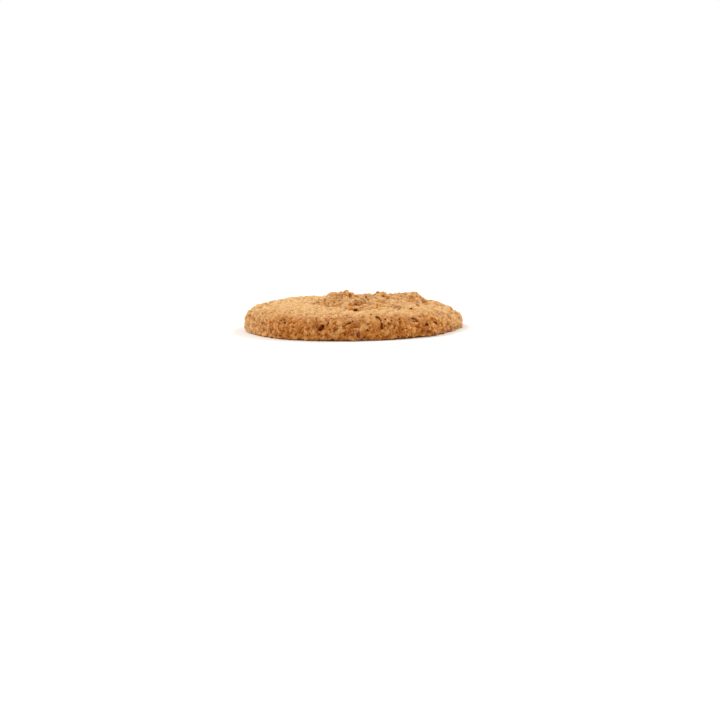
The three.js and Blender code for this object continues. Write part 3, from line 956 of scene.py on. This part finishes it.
# %% Sizes and places of the chocolate
GRAINS_IN_A_NUGGET = (4, 8)
GRAIN_RADIUS = (0.28 * MM, 0.6 * MM)
NUGGET_REACH = 1.4 * MM
FIRST_GRAIN_RADIUS = 0.9 * MM
FALL = 4  # millimetres that the other grains fall, to land on the skin near the first
GRAINS_IN_VIEW = (  # pixels where the camera sees single golden grains, and their radii in millimetres
    (428, 319, 0.9), (435.5, 318, 0.85), (433, 326, 1.1), (435, 330, 0.9), (430.5, 329, 0.6),
    (429.5, 316.5, 0.5), (437.5, 329, 0.5), (440, 317.5, 0.5), (432, 321.5, 0.45), (424, 320, 0.4),
    (405.5, 330.4, 0.5), (410.5, 327.7, 0.55), (407, 327, 0.4), (408.3, 328.8, 0.45), (412, 328.2, 0.45),
    (403.3, 330.4, 0.4), (405, 327.5, 0.3), (411, 330, 0.35), (322.2, 303.8, 0.8), (324.5, 303.2, 0.7),
    (335.5, 305.4, 0.8), (338, 306.5, 0.6), (332.5, 303.4, 0.6), (336.7, 293.2, 0.8), (341, 292, 0.7),
    (344.4, 296, 0.7), (337.2, 298.2, 0.7), (360, 309.3, 0.7), (350.5, 308.2, 0.8), (348, 306.5, 0.6),
    (364.4, 307.7, 0.7), (367.5, 306.2, 0.6), (374.4, 308.2, 0.6), (379.7, 306, 0.6), (387.2, 296.8, 0.7),
    (381.7, 294.9, 0.6), (410, 295.4, 0.7), (411.7, 300.2, 0.8), (430.5, 300.4, 0.4), (399, 293.8, 0.6),
    (285.5, 303, 0.45), (309.4, 309.4, 0.45), (318.9, 303.9, 0.45), (314.4, 296.5, 0.4), (252.8, 307.8, 0.4),
    (253.9, 322.8, 0.35),
)

# %% Clusters of grains
draw = random.Random(53)
grain_matrices = []
for point, normal in CHOCOLATE_PLACES:
    size = (FIRST_GRAIN_RADIUS, FIRST_GRAIN_RADIUS * 0.8, FIRST_GRAIN_RADIUS * 0.65)
    grain_matrices.append(set_on((point, normal), size, draw.uniform(0, FULL_TURN), -0.45))
    for _ in range(draw.randint(*GRAINS_IN_A_NUGGET)):
        off = Vector([draw.uniform(-1, 1) for _ in range(3)]).normalized() * NUGGET_REACH
        place = skin_along(point + off * draw.uniform(0.5, 1) + normal * FALL * MM, -normal)
        if place:
            radius = draw.uniform(*GRAIN_RADIUS)
            size = (radius, radius * draw.uniform(0.6, 1), radius * draw.uniform(0.5, 0.8))
            spin, lift = draw.uniform(0, FULL_TURN), draw.uniform(-0.4, 0.0)
            grain_matrices.append(set_on(place, size, spin, lift))
for place, radius in seen_by_camera(GRAINS_IN_VIEW):
    size = Vector((1.15, draw.uniform(0.7, 1.0), draw.uniform(0.45, 0.65))) * radius * MM
    grain_matrices.append(set_on(place, size, draw.uniform(0, FULL_TURN), -0.3))
print("The nuggets have", len(grain_matrices), "grains")

# %% The nuggets as one piece
grain_masters = make_lumps("grain", count=6, roundness=3, dents=0.16)
chocolate = join_copies("white_chocolate_nuggets", grain_masters, grain_matrices)
remove(grain_masters)


def knobbly(place, normal):
    """Small knobs, as molten chocolate has where it set again."""
    relief = 0.12 * cloud(place, 0.4, 1.0) + (0.35 - cells(place, 0.5)) * 0.2
    return relief, {"hollow": ramp(relief, 0.0, -0.1)}


push_out(chocolate, knobbly)
bpy.ops.object.shade_smooth()
print("The nuggets have", triangles(chocolate), "triangles")

# %% [markdown]
# ## Crumbs
#
# Loose crumbs cling to the crust, most of all along the ragged foot. Thousands of copies are a job
# for Geometry Nodes: points are scattered over the dough, a grain is set on each, turned and sized
# at random, and the copies are made real.


# %% Scattering grains
def scatter(name, master, density_of, size, seed, sunk):
    """One piece made of grains all over the dough. density_of(place, facing up) is per square mm."""
    bpy.ops.mesh.primitive_plane_add(size=MM)
    piece = bpy.context.object
    piece.name = name
    tree = new_modifier_tree(name)
    place = Wire.node("GeometryNodeInputPosition") * (1 / MM)
    facing_up = part_of(Wire.node("GeometryNodeInputNormal"), "Z")
    crust = Wire.node("GeometryNodeObjectInfo", {}, {"Object": dough}, "Geometry")
    spread = {"Mesh": crust, "Density": density_of(place, facing_up) * (1 / MM**2), "Seed": seed}
    Wire.node("GeometryNodeDistributePointsOnFaces", {"distribute_method": "RANDOM"}, spread)
    points = tree.nodes[-1].outputs
    along = Wire.node("FunctionNodeRandomValue", {"data_type": "FLOAT_VECTOR"},
                      {"Min": (0, 0, 0), "Max": (FULL_TURN,) * 3, "Seed": seed})
    sizes = Wire.node("FunctionNodeRandomValue", {"data_type": "FLOAT_VECTOR"},
                      {"Min": (size[0],) * 3, "Max": (size[1],) * 3, "Seed": seed + 1})
    inwards = Wire(points["Normal"]) * (-sunk)
    sunk_points = Wire.node("GeometryNodeSetPosition", {},
                            {"Geometry": Wire(points["Points"]), "Offset": inwards})
    grain = Wire.node("GeometryNodeObjectInfo", {}, {"Object": master}, "Geometry")
    grains = Wire.node("GeometryNodeInstanceOnPoints", {},
                       {"Points": sunk_points, "Instance": grain, "Rotation": along, "Scale": sizes})
    real = Wire.node("GeometryNodeRealizeInstances", {}, {"Geometry": grains})
    lifted = above_floor(Wire.node("GeometryNodeInputPosition"))
    real = Wire.node("GeometryNodeSetPosition", {}, {"Geometry": real, "Position": lifted})
    tree.links.new(real.socket, tree.nodes.new("NodeGroupOutput").inputs[0])
    apply_modifier(piece, "NODES", node_group=tree)
    bpy.ops.object.shade_smooth()
    print(name, "has", triangles(piece), "triangles")
    return piece


# %% Crumbs over the dough
def crumb_density(place, facing_up):
    """Crumbs lie most thickly at the foot. None lie on the underside."""
    height = part_of(place, "Z")
    return (0.30 + 2.2 * ramp(height, 1.5, 0.3)) * ramp(facing_up, -0.9, -0.6)


crumb_master, = make_lumps("crumb", count=1, roundness=1, dents=0.3)
crumbs = scatter("crumb_grains", crumb_master, crumb_density,
                 size=(0.14 * MM, 0.34 * MM), seed=7, sunk=0.06 * MM)
remove([crumb_master])

# %% [markdown]
# A few sugar crystals glint on the crust. They are the same job with smaller, evenly spread grains.


# %% Sugar over the dough
def sugar_density(place, facing_up):
    """One crystal on every fifty square millimetres, and none on the underside."""
    return 0.02 * ramp(facing_up, -0.9, -0.6)


sugar_master, = make_lumps("sugar", count=1, roundness=1, dents=0.2)
sugar = scatter("sugar_grains", sugar_master, sugar_density,
                size=(0.08 * MM, 0.14 * MM), seed=23, sunk=0.0)
remove([sugar_master])

# %% [markdown]
# ## Colour
#
# The crust is pale sandy tan on the swollen rim, where it only dried, and browner down the side and
# at the foot, where it toasted; round the side the brown is partly painted shade. Over that lie
# blotches, grains and specks, with painted highlight on the grains and painted dark, warm shade in the
# hollows. Colours are written as a paint chart gives them, from 0 to 255.


# %% Paints
def paint(red, green, blue):
    """A colour as Blender wants it, from its chart numbers."""
    return (*[(part / 255 / 12.92) if part <= 10 else ((part / 255 + 0.055) / 1.055) ** 2.4
              for part in (red, green, blue)], 1)


def new_material(name, piece):
    """A material on a piece, and its place in millimetres."""
    material = bpy.data.materials.new(name)
    material.use_nodes = True
    piece.data.materials.clear()
    piece.data.materials.append(material)
    Wire.tree = material.node_tree
    return Wire.node("ShaderNodeTexCoord", {}, {}, "Object") * (1 / MM)


def kept(name):
    """An attribute that the relief kept."""
    return Wire.node("ShaderNodeAttribute", {"attribute_name": name}, {}, "Fac")


def finish(colour, roughness, bump, bump_depth, **constants):
    """Wires colour, roughness and bump to the shader, and sets what is the same all over."""
    shader = Wire.tree.nodes["Principled BSDF"]
    Wire.tree.links.new(colour.socket, shader.inputs["Base Color"])
    Wire.tree.links.new(roughness.socket, shader.inputs["Roughness"])
    bumped = Wire.node("ShaderNodeBump", {}, {"Height": bump, "Distance": bump_depth})
    Wire.tree.links.new(bumped.socket, shader.inputs["Normal"])
    for name, value in constants.items():
        shader.inputs[name.replace("_", " ")].default_value = value


# %% [markdown]
# Baked dough is many browns at once. One noise between two browns would look like stained paper, so
# the crust's colour is laid on in coats, each a mix by its own mask: first the wide changes from top
# to foot, partly painted shade, then blotches, then bright grains and dark gaps, partly painted
# highlight and shade. The last coats read the attributes that the relief kept and paint shade into
# every crease, pit and tear, so each is darker than the crust round it.

# %% Paints for the dough
PALE = paint(240, 198, 142)
TAN = paint(236, 181, 108)
BROWN = paint(212, 140, 68)
# toasted brown, which round the side is also painted shade
TOAST_AND_SHADE_BROWN = paint(200, 125, 47)
ORANGE = paint(226, 138, 54)
MAUVE = paint(212, 146, 102)
# warm tone of the sand's gaps, and painted warm shade in hollows
WARM_TONE_AND_SHADE = paint(192, 104, 28)
# painted shade in hollows, pits, creases and tears
SHADE_BROWN = paint(162, 74, 0)
DARKEST_SHADE = paint(112, 40, 0)
# painted shade in the deepest pores
SPECK = paint(118, 52, 22)
# pale grains and sugar, and painted highlight on raised grains and knobs
PALE_AND_HIGHLIGHT = paint(255, 213, 142)
GOLDEN_CORNER = (27.0, -26.7, 4.4)  # here the dough is painted dark, as shade between the grains of a large cluster


# %% The crust by place
def crust_colour(place):
    """The crust by place alone: pale on top, brown round the side (partly painted shade) and at the foot,
    blotchy.
    """
    radius = length(place * (1.0, 1.0, 0.0)) + 1.6 * cloud(place, 4.0, 1.0)
    height = part_of(place, "Z") + 1.4 * cloud(place, 3.0, 1.0)
    # Paler ends and a browner side: partly toasting, partly painted light on the ends and painted shade on
    # the side.
    off_ends = ramp(Wire.math("ABSOLUTE", part_of(place, "Y"), 0.0), 6.0, 34.0, 0.25, 1.0)
    toasted_and_shaded = ramp(radius, 31.0, 37.5) * ramp(height, 11.2, 6.0) * off_ends
    colour = mix(0.7 * ramp(cloud(place, 6.0, 2.0), -0.15, 0.45), PALE, TAN)
    colour = mix(toasted_and_shaded, colour, mix(ramp(height, 7.0, 0.5), BROWN, TOAST_AND_SHADE_BROWN))
    colour = mix(0.75 * ramp(part_of(place, "Z"), 0.3, 0.05), colour, TOAST_AND_SHADE_BROWN)
    colour = mix(0.45 * ramp(cloud(place, 2.4, 2.0), 0.08, 0.5), colour, ORANGE)
    colour = mix(0.5 * ramp(cloud(place, 2.0, 2.0), -0.05, -0.5), colour, MAUVE)
    # Painted shade round the grains of the large golden cluster.
    corner = ramp(length(place - GOLDEN_CORNER), 4.4, 2.4) * ramp(cloud(place, 1.1), -0.25, 0.15)
    colour = mix(0.6 * corner, colour, SHADE_BROWN)
    # Grains paler on top and warm and dark in their gaps: partly own tone, partly painted light and shade.
    sand = cloud(place, 0.4, 2.0)
    gaps = cells(place, 0.42)
    colour = mix(0.42 * ramp(sand + 0.7 * gaps, 0.25, 0.85), colour, WARM_TONE_AND_SHADE)
    return mix(0.6 * ramp(sand - 0.7 * gaps, -0.25, 0.2), colour, PALE_AND_HIGHLIGHT)


# %% The dough by its relief
def dough_colour(place, before):
    """Crust with painted highlight on grains and knobs, painted warm dark shade in hollows, and dark specks.
    """
    colour = crust_colour(place)
    colour = mix(0.5 * kept("broken") * ramp(cloud(before, 1.6, 1.0), 0.0, 0.4), colour, ORANGE)
    # Painted highlight on the raised grains.
    colour = mix(0.32 * ramp(kept("raised"), 0.0, 0.25), colour, PALE_AND_HIGHLIGHT)
    # Painted shade in low grains, pits, between knobs, in holes and in tears.
    colour = mix((0.62 + 0.2 * kept("side")) * ramp(kept("raised"), 0.02, -0.33), colour, SHADE_BROWN)
    colour = mix(crumb_pits(before) * (0.38 + 0.38 * kept("side")), colour, SHADE_BROWN)
    colour = mix((0.42 + 0.13 * kept("side")) * ramp(knobs(before), 0.0, -0.45), colour, SHADE_BROWN)
    # Painted highlight on the tops of the knobs.
    colour = mix(0.34 * ramp(knobs(before), 0.05, 0.45), colour, PALE_AND_HIGHLIGHT)
    colour = mix(fine_holes(before) * (0.25 + 0.5 * kept("side")), colour, SHADE_BROWN)
    colour = mix(0.7 * tears(before) * (0.35 + 0.65 * kept("side")), colour, SHADE_BROWN)
    # Painted warm shade in the broken middle's hollows and crevices.
    colour = mix(0.2 * kept("broken") * ramp(kept("depth"), -0.2, 0.4), colour, WARM_TONE_AND_SHADE)
    colour = mix(0.4 * crevices(before) * kept("broken"), colour, SHADE_BROWN)
    # Painted shade, darkest where the skin lies deepest below the smooth body.
    colour = mix(ramp(kept("depth"), 0.15, 0.6), colour, SHADE_BROWN)
    colour = mix(ramp(kept("depth"), 0.5, 1.3, 0.0, 0.9), colour, DARKEST_SHADE)
    speck_draw = part_of(cells(place, 0.9, "F1", "Color"), "X")
    specks = ramp(cells(place, 0.9), 0.28, 0.16) * ramp(speck_draw, 0.93, 0.95)
    return mix(0.7 * specks, colour, SPECK)


# %% The dough's material
place = new_material("baked_dough", dough)
before = Wire.node("ShaderNodeAttribute", {"attribute_name": "before"}, {}, "Vector")
finish(dough_colour(place, before), ramp(cloud(place, 0.8, 1.0), -0.6, 0.6, 0.75, 0.95),
       cloud(place, 0.6, 4.0) - cells(place, 0.42) - fine_holes(before), 0.28 * MM,
       Specular_IOR_Level=0.2)
print("The dough's material has", len(Wire.tree.nodes), "nodes")

# %% [markdown]
# Crumbs are bits of the same crust. Their colour is that of the crust by place alone, because the
# masks of the relief belong to the dough's own skin.

# %% The crumbs' material
place = new_material("crumb", crumbs)
finish(crust_colour(place), ramp(cloud(place, 0.4), -0.6, 0.6, 0.75, 0.95),
       cloud(place, 0.2, 1.0), 0.05 * MM, Specular_IOR_Level=0.2)
print("The crumbs' material has", len(Wire.tree.nodes), "nodes")

# %% [markdown]
# A sugar crystal is clear, but one so small only shows as a glint. A pale colour and a low
# roughness give the same glint, and bake better than glass.

# %% The sugar's material
SUGAR = paint(255, 228, 176)

place = new_material("sugar", sugar)
finish(mix(0.5 * ramp(cloud(place, 0.3), -0.4, 0.4), SUGAR, PALE_AND_HIGHLIGHT),
       ramp(cloud(place, 0.2), -0.5, 0.5, 0.1, 0.3), cloud(place, 0.1), 0.02 * MM)
print("The sugar's material has", len(Wire.tree.nodes), "nodes")

# %% [markdown]
# Dried cranberry is dark red on its folds, with painted shade nearly brown in the creases, and a
# dusting of crumbs.
# Its skin is a little glossier than dough, so its roughness is lower and its specular level higher.

# %% The cranberry's material
CRANBERRY_RED = paint(148, 64, 38)
CRANBERRY_DARK = paint(102, 38, 22)
CRANBERRY_DUSTY = paint(182, 114, 76)

place = new_material("dried_cranberry", cranberry)
colour = mix(ramp(cloud(place, 0.9, 1.0), -0.4, 0.4), CRANBERRY_DARK, CRANBERRY_RED)
# Painted shade in the creases between the folds.
colour = mix(0.7 * kept("hollow"), colour, CRANBERRY_DARK)
colour = mix(0.45 * ramp(cloud(place, 0.5, 2.0), 0.1, 0.5), colour, CRANBERRY_DUSTY)
finish(colour, ramp(cloud(place, 0.6), -0.5, 0.5, 0.5, 0.8), cloud(place, 0.18, 1.0), 0.05 * MM,
       Specular_IOR_Level=0.3)
print("The cranberry's material has", len(Wire.tree.nodes), "nodes")

# %% [markdown]
# White chocolate turns from cream to gold and caramel as it bakes, in patches, and has painted
# shade, brownest between its knobs. It is waxy, which a lower roughness than the dough's shows well
# enough on grains as small as these.

# %% The chocolate's material
GOLD = paint(248, 186, 96)
# caramel patches, and painted shade between the knobs
CARAMEL_AND_SHADE = paint(208, 132, 56)
CREAM = paint(255, 218, 144)

place = new_material("white_chocolate", chocolate)
colour = mix(ramp(cloud(place, 0.8, 1.0), -0.4, 0.4), CARAMEL_AND_SHADE, GOLD)
colour = mix(0.6 * ramp(cloud(place, 0.4, 1.0), 0.1, 0.5), colour, CREAM)
# Painted shade between the knobs.
colour = mix(0.7 * kept("hollow"), colour, CARAMEL_AND_SHADE)
finish(colour, ramp(cloud(place, 0.5), -0.5, 0.5, 0.55, 0.85), cloud(place, 0.25, 2.0), 0.1 * MM,
       Specular_IOR_Level=0.3)
print("The chocolate's material has", len(Wire.tree.nodes), "nodes")

# %% [markdown]
# ## The studio
#
# The cookie lies on white paper in a white room. Two large soft lights stand high on both sides and
# a little behind it, the left one stronger, so its top is bright and its front is in gentle shade.

# %% Floor
FLOOR_RADIUS = 12  # metres
PAPER_WHITE = (0.915, 0.925)  # paper isn't quite even
PAPER_ROUGHNESS = 0.9

bpy.ops.mesh.primitive_circle_add(vertices=96, radius=FLOOR_RADIUS, fill_type="NGON")
floor = bpy.context.object
floor.name = "floor"
paper = bpy.data.materials.new("white_paper")
paper.use_nodes = True
Wire.tree = paper.node_tree
paper_shader = paper.node_tree.nodes["Principled BSDF"]
paper_shade = ramp(cloud(Wire.node("ShaderNodeTexCoord", {}, {}, "Object"), 0.4), -1, 1, *PAPER_WHITE)
Wire.tree.links.new(paper_shade.socket, paper_shader.inputs["Base Color"])
paper_shader.inputs["Roughness"].default_value = PAPER_ROUGHNESS
floor.data.materials.append(paper)
print("The floor is", FLOOR_RADIUS, "m in radius")

# %% [markdown]
# The room gives the shade its colour. It is a world rather than walls: white near the horizon, where
# the camera sees it, and dimmer and a little warm above, as a ceiling is.

# %% The room
ROOM_LIGHT = 0.72  # brightness of the room above, where 1 shows as white
WHITE = (1, 1, 1, 1)
ROOM_COLOUR = (1.0, 0.96, 0.88, 1)
WHITE_BAND = (0.15, 0.35)  # how high, as a direction's Z, the white near the horizon ends

world = bpy.data.worlds.new("white_room")
bpy.context.scene.world = world
world.use_nodes = True
Wire.tree = world.node_tree
skywards = part_of(Wire.node("ShaderNodeTexCoord", {}, {}, "Generated"), "Z")
room = ramp(skywards, *WHITE_BAND, 1, ROOM_LIGHT)
room_colour = mix(ramp(skywards, *WHITE_BAND), WHITE, ROOM_COLOUR)
background = world.node_tree.nodes["Background"]
Wire.tree.links.new(room.socket, background.inputs["Strength"])
Wire.tree.links.new(room_colour.socket, background.inputs["Color"])
bpy.context.scene.view_settings.view_transform = "Standard"
print("Above, the room is", ROOM_LIGHT, "as bright as its white part")

# %% [markdown]
# Two area lights close by would do for one picture, but their light falls off across the floor. Suns
# light it evenly, and a wide sun casts as soft a shadow. Both are slightly cool, against the warm room.

# %% Lights
SUN_COLOUR = (0.955, 0.975, 1.0)
SUN_WIDTH = math.radians(30)  # as wide as a large window looks: the wider, the softer the shadow


def add_sun(name, turn, rise, strength):
    """A soft light from far away, at a turn from the front and a rise above the floor, in degrees."""
    away = aslant(turn, rise)
    bpy.ops.object.light_add(type="SUN", location=away, rotation=away.to_track_quat("Z", "Y").to_euler())
    sun = bpy.context.object
    sun.name = name
    sun.data.energy = strength
    sun.data.color = SUN_COLOUR
    sun.data.angle = SUN_WIDTH
    print(name, "is", strength, "strong")


add_sun("left_light", turn=-108, rise=46, strength=1.66)
add_sun("right_light", turn=112, rise=40, strength=1.45)

# %% [markdown]
# ## Handing over
#
# Each piece rides on the cookie's one body. The dough stands for the solid, which is hidden.

# %% Riding and replacing
for piece in (dough, cranberry, chocolate, crumbs, sugar):
    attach(piece, "root")
    print(piece.name, "has", triangles(piece), "triangles in all")
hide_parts("cookie")
